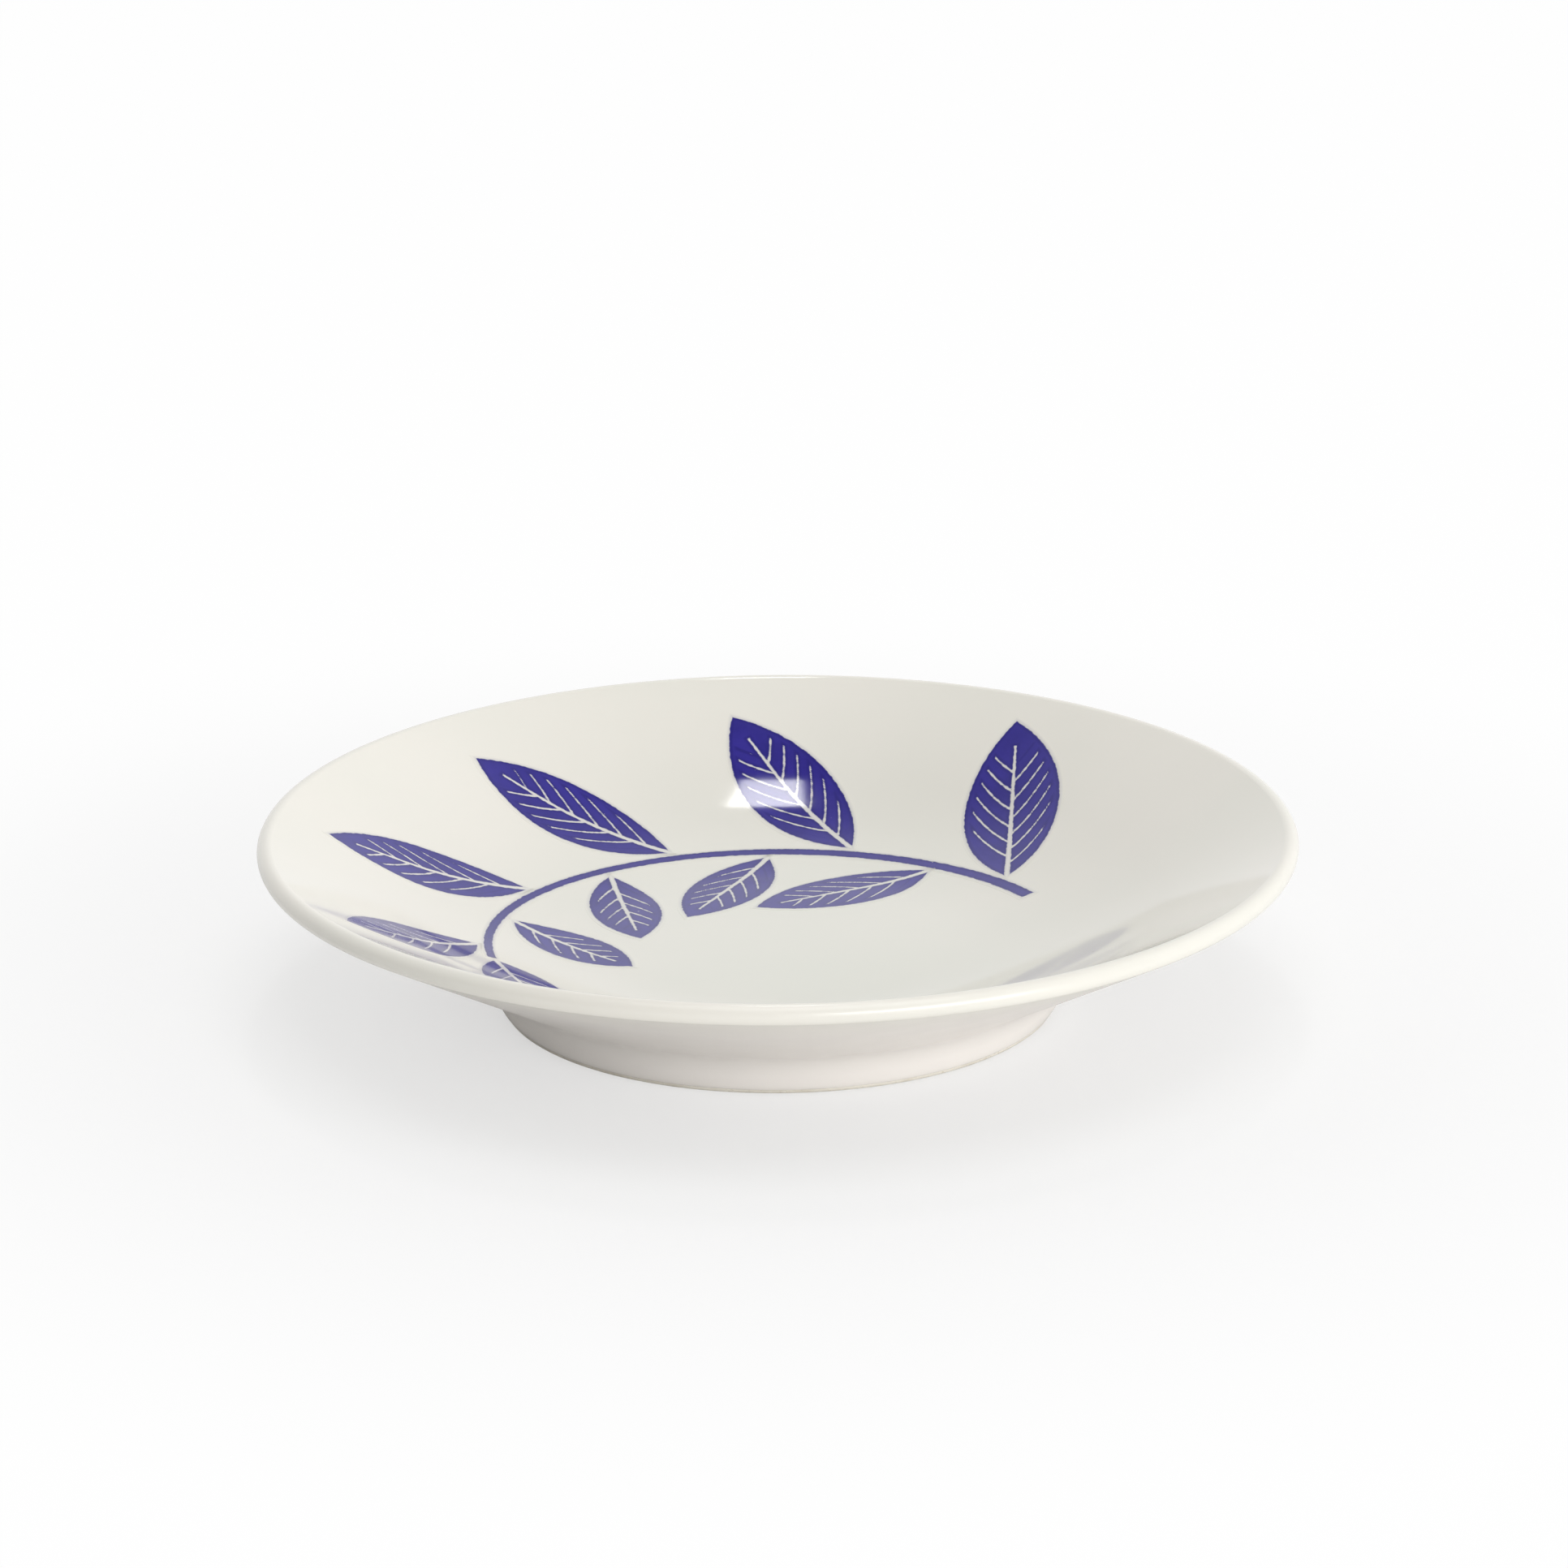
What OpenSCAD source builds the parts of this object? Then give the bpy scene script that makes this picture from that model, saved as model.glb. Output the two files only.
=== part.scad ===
// Small soy sauce dish: flared porcelain wall on a foot ring, glazed inside and out,
// with a blue leaf sprig fired into the glaze of the well.
// Millimetres, +Z up, origin at the middle of the foot ring where it meets the table.

/* [Dish] */
// Diameter over the rim
rim_d = 100; // [90:1:120]
// Height from the table to the top of the lip
dish_h = 17.1; // [16:0.1:22]
// Thickness of the rounded lip, over its glaze
lip_t = 2; // [1.6:0.1:4]
// How far the lip stands proud of the wall and the well
lip_proud = 0.03; // [0.02:0.01:0.1]
// Thickness of the flat floor, over its glaze
floor_t = 3.8; // [2.8:0.1:4.4]
// Radius of the bend from the floor of the well to its wall
bend_r = 42; // [30:1:50]

/* [Foot] */
// Diameter over the glazed foot where the wall leaves it
foot_top_d = 56.4; // [48:0.2:62]
// Diameter over the glazed foot where its side would meet the table
foot_d = 54; // [44:0.2:60]
// Height at which the wall leaves the foot
foot_h = 3.8; // [3:0.1:4.5]
// Width of the foot ring at the table, over its glaze
foot_w = 4.1; // [3.4:0.1:6]
// Depth of the recess inside the foot ring
recess_depth = 2; // [1.6:0.1:2.4]
// Rounding of the ring's two bottom edges
foot_edge_r = 0.3; // [0.2:0.05:0.3]

/* [Glaze] */
// Thickness of the glaze
glaze_t = 0.3; // [0.2:0.05:0.4]
// Height of the bare clay at the foot's edge
bare_h = 0.4; // [0.4:0.1:1.4]
// Radius of the glaze that pools between the wall and the foot
pool_r = 2.6; // [1.2:0.1:4]

/* [Print] */
// Thickness of the print, flush with the glaze around it
print_t = 0.1; // [0.05:0.01:0.15]
// Clear band between the print and the lip
print_margin = 3.2; // [2:0.2:8]
// Number of leaves
leaf_count = 10; // [6:1:12]
// Width of the stem
stem_w = 1.1; // [0.7:0.1:1.6]
// How much the stem thins from its cut end to its tip
stem_taper_w = 0.5; // [0.1:0.05:0.6]
// Width of the white rib at the foot of a leaf
rib_w = 0.55; // [0.4:0.05:0.8]
// Width of the white rib where it ends
rib_tip_w = 0.2; // [0.1:0.05:0.3]
// Clear gap between the stem and a leaf
leaf_gap = 0.6; // [0.4:0.1:1.2]

/* [Hidden] */
$fn = 240;
// One overrun serves all cuts
overrun = 0.5;
// How far a round that joins two faces reaches past them
bite = 0.03;

// Lip and floor, as radius and height
lip_r = lip_t / 2;
lip_c = [rim_d / 2 - lip_r, dish_h - lip_r];
lip_reach = lip_r - lip_proud;
well_z = recess_depth + floor_t;
// The foot's side leans out from the table to its corner with the wall
foot_r = foot_top_d / 2;
foot_low_r = foot_d / 2;
foot_lean = (foot_r - foot_low_r) / foot_h;
foot_angle = atan(foot_lean);
foot_out = [cos(foot_angle), -sin(foot_angle)];
foot_corner = [foot_r, foot_h];
wall_span = lip_c - foot_corner;
wall_angle = atan2(wall_span.y, wall_span.x) - asin(lip_reach / norm(wall_span));
wall_out = [sin(wall_angle), -cos(wall_angle)];
wall_up = [cos(wall_angle), sin(wall_angle)];
// The well's wall runs beside the outer one and touches the lip on the other side
well_end = lip_c - lip_reach * wall_out;
well_corner_r = well_end.x - (well_end.y - well_z) / tan(wall_angle);
// The bend touches the floor and the well's wall
bend_c = [well_corner_r - bend_r * tan(wall_angle / 2), well_z + bend_r];
bend_end = bend_c + bend_r * wall_out;
// A point that stays as far from the foot's side as from the wall moves this way from their corner
corner_out = (foot_out + wall_out) / (1 + foot_out * wall_out);
// The clay of the foot ring meets the clay of the body on this level
seat_z = recess_depth + glaze_t;
ring_inner_r = foot_low_r - foot_w;
// Points inside the clay, under the floor, the middle of the bend and its end
floor_mid_z = recess_depth + floor_t / 2;
bend_mid = bend_c + (bend_r + lip_reach) * [sin(wall_angle / 2), -cos(wall_angle / 2)];
wall_mid = bend_end + lip_reach * wall_out;
// No point of the dish is higher
top_z = dish_h + overrun;

// Leaf sprig, in shares of the radius that the print may fill
print_r = lip_c.x - lip_r - print_margin;
stem_c_shares = [0, -0.08];
stem_c = stem_c_shares * print_r;
stem_r_share = 0.62;
stem_r = stem_r_share * print_r;
// The stem runs round from its cut end to its tip, in degrees from +X
stem_from_angle = 28;
stem_to_angle = 192;
// The sector that cuts the stem reaches past it, in a few straight steps
sector_reach_share = 1.3;
sector_steps = 6;
first_leaf_share = 0.54;
tip_leaf_share = 0.4;
// Leaves on the inner side of the stem are shorter, in shares of those on the outer side
inner_leaf_share = 0.84;
// Width of a leaf and reach of its rib, in shares of its length
leaf_w_share = 0.4;
rib_share = 0.86;
// How far the first leaf sits from the stem's cut end, in shares of the space between leaves
leaf_start_share = 0.55;
// A leaf's edge leaves its base at this angle from its rib, so this clears the stem
leaf_edge_angle = 2 * atan(leaf_w_share);
// Further turn of the outer leaves, the inner leaves and the leaf at the tip, in degrees
outer_leaf_angle = -3;
inner_leaf_angle = 20;
tip_leaf_angle = 8;

// Colours of the clay, the glaze and the print
porcelain = "#e8e5de";
glaze_white = "#f0ede6";
cobalt = "#2a1f86";

leaf_nodes = [for (i = [1:leaf_count]) str("print_leaf_", i)];

function direction(angle) = [cos(angle), sin(angle)];

// Radius of the foot's side at a height, moved into the clay by inset
function foot_side(z, inset) = foot_low_r + z * foot_lean - inset / cos(foot_angle);
// Outer line of the wall, moved into the clay by inset: its foot and its end at the lip
function wall_foot(inset) = foot_corner - inset * corner_out;
function wall_end(inset) = lip_c + (lip_reach - inset) * wall_out;

// A leaf's place along the stem, its length, its heading and the point where it starts
function is_tip(i) = i == leaf_count;
function is_outer(i) = i % 2 == 1;
function station(i) = is_tip(i) ? 1 : (i - leaf_start_share) / (leaf_count - 1);
function stem_angle(i) = stem_from_angle + (stem_to_angle - stem_from_angle) * station(i);
function leaf_length(i) =
    (first_leaf_share + (tip_leaf_share - first_leaf_share) * station(i)) * print_r
    * (is_outer(i) || is_tip(i) ? 1 : inner_leaf_share);
function leaf_lean(i) =
    is_tip(i) ? tip_leaf_angle
    : is_outer(i) ? -leaf_edge_angle - outer_leaf_angle
    : leaf_edge_angle + inner_leaf_angle;
function leaf_heading(i) = stem_angle(i) + 90 + leaf_lean(i);
function leaf_offset(i) = is_tip(i) ? leaf_gap : (stem_w / 2 + leaf_gap) / abs(sin(leaf_lean(i)));
function leaf_base(i) =
    stem_c + stem_r * direction(stem_angle(i)) + leaf_offset(i) * direction(leaf_heading(i));

// Half section of the dish above the foot ring, with every outer face moved in by inset
module dish_section(inset) {
    well_edge = lip_c - (lip_r + overrun) * wall_out;
    difference() {
        union() {
            translate(lip_c) circle(lip_r - inset);
            polygon([
                [0, seat_z], [foot_side(seat_z, inset), seat_z], wall_foot(inset), wall_end(inset),
                lip_c, well_edge, [0, well_edge.y]
            ]);
        }
        well_section(inset);
    }
}

// Half section of the air over the well: flat floor, bend and wall, all moved into the clay by inset
module well_section(inset) {
    floor_z = well_z - inset;
    wall_low = bend_end + inset * wall_out;
    wall_high = wall_low + (top_z - wall_low.y) / wall_up.y * wall_up;
    translate(bend_c) circle(bend_r + inset + bite);
    polygon([[0, floor_z], [bend_c.x, floor_z], wall_low, wall_high, [0, top_z]]);
}

// Half section of the glaze from the middle of the well, over the lip and down to the ring
module coat_section() {
    difference() {
        dish_section(0);
        dish_section(glaze_t);
    }
}

// Half plane region on the well's side of the clay, as far as the crown of the lip
module well_side() {
    polygon([
        [0, floor_mid_z], [bend_c.x, floor_mid_z], bend_mid, wall_mid, lip_c, [lip_c.x, top_z], [0, top_z]
    ]);
}

// Glaze that rounds the corner under the wall, sunk a little into the coat that it joins
module pool_section() {
    sink = glaze_t / 2;
    clear = pool_r - bite;
    centre = foot_corner + clear * corner_out;
    difference() {
        polygon([
            centre - (pool_r + sink) * foot_out, centre, centre - (pool_r + sink) * wall_out,
            wall_foot(sink)
        ]);
        translate(centre) circle(pool_r);
    }
}

// Skin of the well's face, from above it to below it, as far out as the print may reach
module well_skin(above, below) {
    rotate_extrude() intersection() {
        difference() {
            well_section(below);
            well_section(-above);
        }
        square([print_r + print_margin / 2, dish_h]);
    }
}

// Outline of the stem: two circles a little apart, cut to the sprig's sector
module stem_outline() {
    reach = sector_reach_share * stem_r;
    translate(stem_c) intersection() {
        difference() {
            circle(stem_r + stem_w / 2);
            translate(stem_taper_w / 2 * direction(stem_to_angle)) circle(stem_r - stem_w / 2);
        }
        polygon(concat([[0, 0]], [
            for (k = [0:sector_steps])
                reach * direction(stem_from_angle + (stem_to_angle - stem_from_angle) * k / sector_steps)
        ]));
    }
}

// Outline of a leaf along +X: two arcs that meet in points, with a white rib left out
module leaf_outline(length) {
    half_w = leaf_w_share * length / 2;
    edge_r = (length ^ 2 / 4 + half_w ^ 2) / (2 * half_w);
    rib_end = rib_share * length;
    difference() {
        intersection() {
            translate([length / 2, half_w - edge_r]) circle(edge_r);
            translate([length / 2, edge_r - half_w]) circle(edge_r);
        }
        polygon([
            [-rib_w, -rib_w / 2], [rib_end, -rib_tip_w / 2],
            [rib_end, rib_tip_w / 2], [-rib_w, rib_w / 2]
        ]);
    }
}

module placed_leaf(i) {
    translate(leaf_base(i)) rotate(leaf_heading(i)) leaf_outline(leaf_length(i));
}

module sprig_outline() {
    stem_outline();
    for (i = [1:leaf_count]) placed_leaf(i);
}

// Thin film of the given outline, sunk into the well's glaze
module film() {
    intersection() {
        linear_extrude(dish_h) children();
        well_skin(0, print_t);
    }
}

module porcelain_body() {
    color(porcelain) rotate_extrude() dish_section(glaze_t);
}

module foot_ring() {
    inner_r = ring_inner_r + glaze_t;
    outer_r = foot_side(bare_h, glaze_t);
    color(porcelain) rotate_extrude() {
        polygon([
            [inner_r, foot_edge_r], [outer_r, foot_edge_r], [outer_r, bare_h],
            [foot_side(seat_z, glaze_t), seat_z], [inner_r, seat_z]
        ]);
        translate([inner_r + foot_edge_r, 0]) square([outer_r - inner_r - 2 * foot_edge_r, bare_h]);
        for (edge = [inner_r + foot_edge_r, outer_r - foot_edge_r])
            translate([edge, foot_edge_r]) circle(foot_edge_r);
    }
}

module inner_glaze() {
    color(glaze_white) difference() {
        rotate_extrude() intersection() {
            coat_section();
            well_side();
        }
        intersection() {
            linear_extrude(dish_h) sprig_outline();
            well_skin(overrun, print_t);
        }
    }
}

module outer_glaze() {
    color(glaze_white) rotate_extrude() {
        difference() {
            coat_section();
            well_side();
        }
        polygon([
            [foot_side(bare_h, glaze_t), bare_h], [foot_side(bare_h, 0), bare_h],
            [foot_side(seat_z, 0), seat_z], [foot_side(seat_z, glaze_t), seat_z]
        ]);
        pool_section();
    }
}

module base_glaze() {
    color(glaze_white) rotate_extrude() {
        translate([0, recess_depth]) square([ring_inner_r + glaze_t, glaze_t]);
        translate([ring_inner_r, bare_h]) square([glaze_t, seat_z - bare_h]);
    }
}

module print_stem() {
    color(cobalt) film() stem_outline();
}

module print_leaf(i) {
    color(cobalt) film() placed_leaf(i);
}

porcelain_body();
foot_ring();
inner_glaze();
outer_glaze();
base_glaze();
print_stem();
for (i = [1:leaf_count])
    print_leaf(i);
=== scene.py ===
"""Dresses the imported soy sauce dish: turned clay, three glaze coats, a printed leaf sprig and a plain stage.

Every length is in metres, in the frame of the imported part: the dish stands on z = 0 about the Z axis.
"""

import math
from types import SimpleNamespace

import bpy
import numpy as np
from bpy.props import FloatProperty, FloatVectorProperty, IntProperty, PointerProperty
from mathutils import Matrix, Vector


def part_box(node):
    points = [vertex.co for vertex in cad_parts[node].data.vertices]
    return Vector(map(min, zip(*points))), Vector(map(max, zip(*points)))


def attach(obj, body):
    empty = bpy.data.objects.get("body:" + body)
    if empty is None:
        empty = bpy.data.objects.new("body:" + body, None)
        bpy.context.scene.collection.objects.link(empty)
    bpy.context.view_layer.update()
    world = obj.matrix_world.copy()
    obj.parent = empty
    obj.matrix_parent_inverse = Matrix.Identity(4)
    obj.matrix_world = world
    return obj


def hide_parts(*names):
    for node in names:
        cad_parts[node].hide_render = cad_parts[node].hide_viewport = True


bl_info = {
    "name": "Soy Sauce Dish",
    "version": (1, 0, 0),
    "blender": (4, 5, 0),
    "location": "View3D > Sidebar > Dish",
    "description": "Turns, glazes and prints a small porcelain dish in the frame of its packed part",
    "category": "Add Mesh",
}

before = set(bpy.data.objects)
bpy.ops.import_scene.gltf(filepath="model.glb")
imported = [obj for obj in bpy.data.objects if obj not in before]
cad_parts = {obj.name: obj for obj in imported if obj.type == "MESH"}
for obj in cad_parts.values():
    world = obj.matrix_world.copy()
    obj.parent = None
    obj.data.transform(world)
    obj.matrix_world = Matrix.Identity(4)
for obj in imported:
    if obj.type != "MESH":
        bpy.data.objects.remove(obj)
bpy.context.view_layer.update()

LEAF_PREFIX = "print_leaf_"
LEAF_COUNT = sum(name.startswith(LEAF_PREFIX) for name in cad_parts)
MM = 0.001


def low(node):
    """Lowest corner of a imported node."""
    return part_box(node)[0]


def high(node):
    """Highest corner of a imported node."""
    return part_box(node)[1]


GLAZE_T = high("outer_glaze").x - high("porcelain_body").x


# Properties

SHORTEST = 0.01 * MM
SMALLEST_SHARE = 0.01


def a_length(name, description, default):
    """A length."""
    return FloatProperty(name=name, description=description, default=default, min=SHORTEST, unit="LENGTH")


def a_share(name, description, default):
    """A share of something else."""
    return FloatProperty(
        name=name, description=description, default=default, min=SMALLEST_SHARE, max=1.0, subtype="FACTOR")


def an_angle(name, description, degrees):
    """An angle, given here in degrees."""
    return FloatProperty(name=name, description=description, default=math.radians(degrees), subtype="ANGLE")


def in_pixels(name, description, default):
    """A length or place in the picture."""
    return FloatProperty(name=name, description=description, default=default, subtype="PIXEL")


def a_level(name, description, default):
    """A brightness, where 1 is plain white."""
    return FloatProperty(name=name, description=description, default=default, min=0.0)


def a_colour(name, description, default):
    """A linear colour."""
    return FloatVectorProperty(
        name=name, description=description, default=default, size=3, min=0.0, max=1.0, subtype="COLOR")


class DishSizes(bpy.types.PropertyGroup):
    """Sizes of the dish's clay and glaze"""

    rim_radius: a_length("Rim radius", "From the axis to the outside of the lip", high("outer_glaze").x)
    height: a_length("Height", "From the table to the crown of the lip", high("outer_glaze").z)
    crown_radius: a_length("Crown radius", "From the axis to the top of the lip", high("inner_glaze").x)
    floor_height: a_length(
        "Floor height", "From the table to the flat glazed floor", low("inner_glaze").z + GLAZE_T)
    bend_radius: a_length(
        "Bend radius", "Radius of the bend from the floor of the well to its wall", 42.0 * MM)
    glaze_thickness: a_length("Glaze thickness", "Thickness of each coat of glaze", GLAZE_T)
    foot_top_radius: a_length(
        "Foot top radius", "From the axis to the corner where the wall leaves the foot", 28.2 * MM)
    foot_low_radius: a_length(
        "Foot low radius", "From the axis to where the foot's glazed side would meet the table", 27.0 * MM)
    foot_height: a_length(
        "Foot height", "From the table to the corner where the wall leaves the foot", 3.8 * MM)
    ring_inner_radius: a_length(
        "Ring inner radius", "From the axis to the glazed inside of the foot ring",
        high("base_glaze").x - GLAZE_T)
    seat_height: a_length(
        "Seat height", "Where the foot ring meets the clay of the body", high("foot_ring").z)
    bare_height: a_length("Bare height", "How far the glaze stops above the table", low("outer_glaze").z)
    pool_radius: a_length(
        "Pool radius", "Radius of the glaze that pools in the corner over the foot", 4.8 * MM)
    recess_pool_radius: a_length(
        "Recess pool radius", "Radius of the glaze that pools in the corner inside the foot", 0.9 * MM)
    foot_edge_radius: a_length(
        "Foot edge radius", "Rounding of the two bare edges that stand on the table", 0.3 * MM)
    glaze_run: a_length(
        "Glaze run", "Length over which a coat thins out to its end over the bare edge", 1.0 * MM)
    segments: IntProperty(name="Segments", description="Steps round the dish", default=800, min=32)


class SprigSizes(bpy.types.PropertyGroup):
    """Sizes of the printed sprig: a curved stem with paired leaves and one at its tip"""

    margin: a_length("Margin", "White left between the sprig's field and the inside of the lip", 3.2 * MM)
    stem_drop: a_share(
        "Stem drop", "How far the stem's centre lies before the dish's, as a share of the field", 0.08)
    stem_bend: a_share("Stem bend", "Radius of the stem's curve as a share of the field", 0.62)
    stem_from: an_angle("Stem from", "Angle where the stem's thick end starts", 28.0)
    stem_to: an_angle("Stem to", "Angle where the stem's thin end stops", 192.0)
    stem_width: a_length("Stem width", "Width of the stem at the middle of its curve", 1.1 * MM)
    stem_taper: a_length(
        "Stem taper", "How far the inside of the stem is shifted towards its thin end", 0.25 * MM)
    leaf_long: a_share("First leaf", "Length of the first leaf as a share of the field", 0.54)
    leaf_short: a_share("Last leaf", "Length of the last leaf as a share of the field", 0.40)
    leaf_inner: a_share("Inner leaves", "Length of an inner leaf as a share of an outer one", 0.84)
    leaf_slim: a_share("Leaf width", "Width of a leaf as a share of its length", 0.4)
    leaf_gap: a_length("Leaf gap", "White left between a leaf and the stem", 0.6 * MM)
    rib_width: a_length("Rib width", "Width of the white midrib at the leaf's base", 0.55 * MM)
    rib_tip_width: a_length("Rib tip width", "Width of the white midrib at its far end", 0.2 * MM)
    rib_reach: a_share("Rib reach", "How far the midrib runs, as a share of the leaf", 0.86)
    vein_pitch: a_length("Vein pitch", "Distance between two side veins along the midrib", 2.6 * MM)
    vein_width: a_length("Vein width", "Width of a side vein", 0.2 * MM)
    vein_angle: an_angle("Vein angle", "Angle between a side vein and the midrib", 42.0)
    vein_stop: a_length("Vein stop", "How far short of the leaf's edge a side vein ends", 0.9 * MM)
    bleed: a_length(
        "Bleed", "How far the film reaches past the ink for the colour that bleeds into the glaze", 0.45 * MM)
    proud: a_length("Proud", "How far the film stands out of the glaze", 0.015 * MM)
    depth: a_length("Depth", "How deep the film lies in the glaze", 0.1 * MM)
    grain: a_length("Grid step", "Step of the film's grid", 0.15 * MM)


class DishColours(bpy.types.PropertyGroup):
    """Colours of the dish's finishes"""

    glaze_warm: a_colour("Warm glaze", "Glaze where it lies thin", (0.863, 0.837, 0.766))
    glaze_cool: a_colour("Cool glaze", "Glaze where it pools", (0.800, 0.803, 0.726))
    # Painted light: a lighter copy of the glaze colour for the wall, foot and recess, standing in for light
    # they get
    glaze_outside_painted_lighter: a_colour("Outside glaze", "Glaze on the wall and the foot", (0.900, 0.864, 0.822))
    cobalt_deep: a_colour("Deep cobalt", "Printed colour where it lies thick", (0.011, 0.005, 0.195))
    cobalt_thin: a_colour("Thin cobalt", "Printed colour where it lies thin", (0.026, 0.016, 0.290))
    bisque: a_colour("Bisque", "Bare fired clay", (0.80, 0.765, 0.685))
    bisque_grain: a_colour("Bisque grain", "Darker grains and scuffs in the bare clay", (0.60, 0.54, 0.44))
    floor_white: a_colour("Floor", "Pale floor under the dish", (0.9, 0.9, 0.9))


class StageSettings(bpy.types.PropertyGroup):
    """Camera, floor and lamps"""

    camera_distance: a_length("Camera distance", "From the camera to the aim point", 0.65)
    camera_elevation: an_angle("Camera elevation", "Angle of the camera over the table", 19.471)
    camera_roll: an_angle("Camera roll", "Turn of the picture that lifts the dish's right side", 0.458)
    aim_height: a_length(
        "Aim height", "Height of the point on the axis that the camera is set by", 8.0 * MM)
    aim_column: in_pixels("Aim column", "Pixel column of that point", 959.23)
    aim_row: in_pixels("Aim row", "Pixel row of that point", 1130.01)
    picture_side: in_pixels("Picture side", "Side of the square picture", 1932.0)
    focal_pixels: in_pixels("Focal length", "Focal length of the lens in pixels", 8292.05)
    key_radiance: a_level("Key lamp", "Brightness of the low soft lamp on the right", 6.2)
    over_radiance: a_level("Over lamp", "Brightness of the large soft lamp overhead", 1.8)
    spot_radiance: a_level("Spot lamp", "Brightness of the small lamp that the glaze mirrors", 12.0)
    side_levels: FloatVectorProperty(
        name="Sides", description="Brightness of the studio's front right, back right, back left, front left",
        default=(0.28, 1.0, 1.02, 0.02), size=4, min=0.0)
    ceiling_level: a_level("Ceiling", "Brightness of the studio's ceiling", 0.36)
    floor_glow: a_share("Floor glow", "Share of plain white in the floor away from the dish", 0.97)
    shadow_lift: a_share(
        "Shadow lift", "Share of plain white in the floor next to the dish, as the camera sees it", 0.55)
    mirror_glow: a_share(
        "Mirror glow", "Share of plain white in the floor away from the dish, as the glaze mirrors it", 0.85)


# Surfaces

SAME_POINT = 1e-8
SHARP_ANGLE = math.radians(38.0)
QUARTER = 0.5 * math.pi


def eased(count):
    """Steps from 0 to 1 that bunch at both ends: half of one minus the cosine of half a turn."""
    return 0.5 - 0.5 * np.cos(np.linspace(0.0, math.pi, count))


def arc(centre, radius, start, end, count):
    """Arc in the (radius, height) plane: centre plus radius times (cos, sin) of the eased angle."""
    angle = start + (end - start) * eased(count)
    return np.asarray(centre) + radius * np.stack((np.cos(angle), np.sin(angle)), axis=1)


def run(first, last, count):
    """Straight run: the first point plus the eased steps times the way to the last."""
    return np.asarray(first) + np.outer(eased(count), np.subtract(last, first))


def joined(*pieces):
    """One profile from several, without the points that repeat where two of them meet."""
    points = np.concatenate(pieces)
    step = np.hypot(*np.diff(points, axis=0).T)
    return points[np.concatenate(([True], step > SAME_POINT))]


def dish_section(size):
    """Circles and lines of the dish in the (radius, height) plane.

    The lip is a circle. The wall is the straight line from the corner over the foot that touches the lip
    from below. The well's wall runs beside it and touches the lip from above. A bend, a circle that touches
    both, joins it to the flat floor. The foot's side leans out from the table to the corner. A point that
    stays as far from the side as from the wall moves along spread from their corner.
    """
    lip_r = size.rim_radius - size.crown_radius
    lip = np.array((size.crown_radius, size.height - lip_r))
    corner = np.array((size.foot_top_radius, size.foot_height))
    span = lip - corner
    slope = math.atan2(span[1], span[0]) - math.asin(lip_r / np.hypot(*span))
    wall_out = np.array((math.sin(slope), -math.cos(slope)))
    well_end = lip - lip_r * wall_out
    meet = well_end[0] - (well_end[1] - size.floor_height) / math.tan(slope)
    bend = np.array((meet - size.bend_radius * math.tan(0.5 * slope), size.floor_height + size.bend_radius))
    lean = math.atan2(size.foot_top_radius - size.foot_low_radius, size.foot_height)
    foot_out = np.array((math.cos(lean), -math.sin(lean)))
    spread = (foot_out + wall_out) / (1.0 + foot_out @ wall_out)
    return SimpleNamespace(lip_r=lip_r, lip=lip, bend=bend, corner=corner, slope=slope, lean=lean,
                           foot_out=foot_out, spread=spread)


def foot_side(size, height, depth):
    """Point of the foot's leaning side at a height, depth under the surface."""
    lean = dish_section(size).lean
    return np.array((size.foot_low_radius + height * math.tan(lean) - depth / math.cos(lean), height))


def upper_line(size, depth, rings):
    """From the axis over the floor, the bend and the wall of the well to the crown, depth under the glazed
    surface."""
    cut = dish_section(size)
    bend = arc(cut.bend, size.bend_radius + depth, -QUARTER, cut.slope - QUARTER, count=rings)
    lip = arc(cut.lip, cut.lip_r - depth, cut.slope + QUARTER, QUARTER, count=20)
    floor = run((0.0, bend[0, 1]), bend[0], count=8)
    return joined(floor, bend, run(bend[-1], lip[0], count=8), lip)


def wall_line(size, depth, pool, foot_end, rings):
    """From the crown down the outside of the wall and the foot to foot_end, depth under the surface.

    The wall's line and the foot's meet in a corner at depth; a pool rounds that corner with an arc of that
    radius that touches both.
    """
    cut = dish_section(size)
    lip = arc(cut.lip, cut.lip_r - depth, QUARTER, cut.slope - QUARTER, count=24)
    centre = cut.corner + (pool - depth) * cut.spread
    bend = arc(centre, pool, cut.slope + QUARTER, 2.0 * QUARTER - cut.lean, count=20)
    foot = run(bend[-1], foot_side(size, foot_end, depth), count=6)
    return joined(lip, run(lip[-1], bend[0], count=rings), bend, foot)


def clay_profile(size):
    """The body's clay: the glazed outline less the glaze, down to the flat seat of the foot ring."""
    depth = size.glaze_thickness
    upper = upper_line(size, depth, rings=24)
    outer = wall_line(size, depth, 0.0, size.seat_height, rings=12)
    base = run(outer[-1], (0.0, size.seat_height), count=12)
    return joined(upper, outer, base)


def foot_profile(size):
    """The foot ring's clay: an upright inside, both lower edges rounded, and a side that leans out over the
    bare edge."""
    inner = size.ring_inner_radius + size.glaze_thickness
    bare = foot_side(size, size.bare_height, size.glaze_thickness)
    seat = foot_side(size, size.seat_height, size.glaze_thickness)
    outer = bare[0]
    edge = size.foot_edge_radius
    return joined(
        run((inner, size.seat_height), (inner, edge), count=10),
        arc((inner + edge, edge), edge, 2.0 * QUARTER, 3.0 * QUARTER, count=16),
        run((inner + edge, 0.0), (outer - edge, 0.0), count=12),
        arc((outer - edge, edge), edge, 3.0 * QUARTER, 4.0 * QUARTER, count=16),
        run((outer, edge), bare, count=4),
        run(bare, seat, count=10),
        run(seat, (inner, size.seat_height), count=8)[:-1])


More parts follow.
